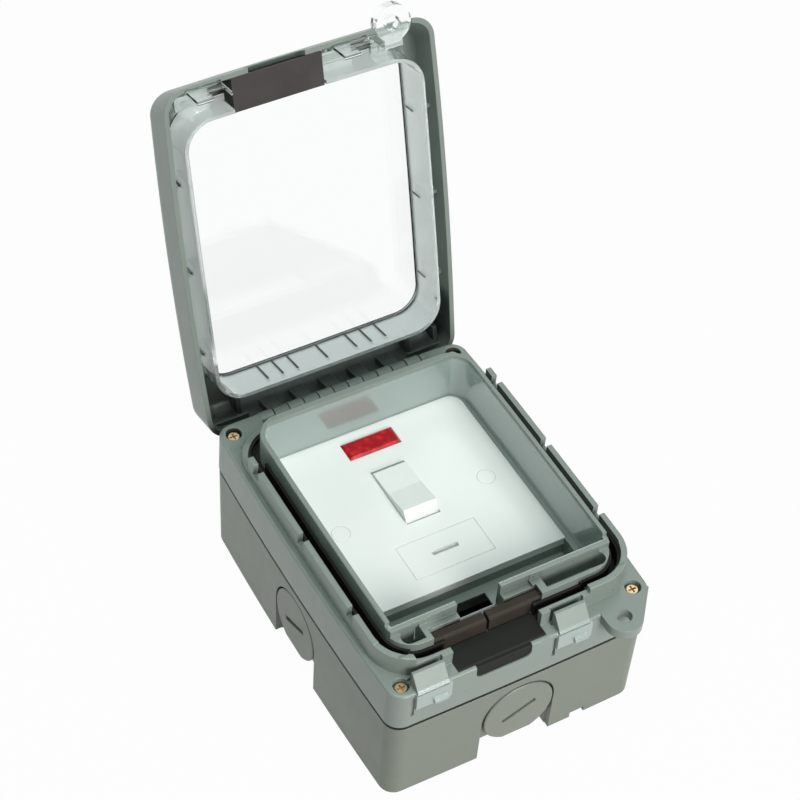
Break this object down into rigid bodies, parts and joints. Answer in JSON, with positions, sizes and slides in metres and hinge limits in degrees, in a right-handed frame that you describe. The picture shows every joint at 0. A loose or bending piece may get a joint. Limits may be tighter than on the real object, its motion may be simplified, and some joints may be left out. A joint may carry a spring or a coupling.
{
  "type": "weatherproof switched fused spur",
  "caption": "Surface-mounted weatherproof box with a hinged clear-fronted lid over a switched fused connection unit with a neon indicator and a flex entry.",
  "frame": {"origin": "centre of the box's wall face", "axes": "+Z out of the wall, +Y towards the hinge (up on the wall), +X to the right seen from the front"},
  "size_m": [0.107, 0.1992, 0.1937],
  "materials": {
    "box_grey": "fine moulded texture",
    "cover_grey": "satin moulded",
    "lid_grey": "satin moulded",
    "black_rubber": "matte",
    "brown_rubber": "matte",
    "screw_nylon": "satin",
    "steel": "zinc plated",
    "clear_window": "clear moulded",
    "white_plate": "gloss",
    "red_lens": "clear red",
    "lamp_glass": "clear",
    "ceramic_white": "ceramic",
    "brass_parts": "pressed"
  },
  "bodies": {
    "enclosure": {"back_box": "box_grey", "blanking_plugs": "box_grey", "plug_seals": "black_rubber", "box_gasket": "black_rubber", "front_cover": "cover_grey", "cover_screws": "screw_nylon", "hinge_pin": "steel", "lid_seal": "black_rubber", "cable_seal": "black_rubber", "entry_pads": "brown_rubber", "faceplate": "white_plate", "plate_screws": "steel", "screw_caps": "white_plate", "neon_lens": "red_lens", "neon_lamp": "lamp_glass", "fuse_contacts": "brass_parts", "module_housing": "white_plate", "terminals": "brass_parts", "terminal_screws": "steel", "fixed_contacts": "brass_parts", "earth_terminal": "brass_parts", "earth_screw": "steel"},
    "lid": {"lid_frame": "lid_grey", "lid_window": "clear_window", "lid_cable_seal": "black_rubber"},
    "rocker": {"rocker": "white_plate", "plungers": "brass_parts"},
    "fuse_drawer": {"fuse_carrier": "white_plate", "fuse_body": "ceramic_white", "fuse_caps": "brass_parts"},
    "bridges": {"contact_bridges": "brass_parts"}
  },
  "joints": [
    {"name": "lid_hinge", "type": "hinge", "parent": "enclosure", "child": "lid", "pos_m": [0, 0.0667, 0.0538], "axis": [1, 0, 0], "range_deg": [0, 104.6]},
    {"name": "rocker_pivot", "type": "hinge", "parent": "enclosure", "child": "rocker", "pos_m": [0, 0.0162, 0.0444], "axis": [1, 0, 0], "range_deg": [0, 13]},
    {"name": "fuse_slide", "type": "slide", "parent": "enclosure", "child": "fuse_drawer", "axis": [0, 0, 1], "range_m": [0, 0.019]},
    {"name": "bridge_pivot", "type": "hinge", "parent": "enclosure", "child": "bridges", "pos_m": [0, 0.0162, 0.0325], "axis": [1, 0, 0], "range_deg": [-18, 0]}
  ],
  "couplings": [
    {"joint": "bridge_pivot", "follows": "rocker_pivot", "ratio": -1.3846}
  ]
}
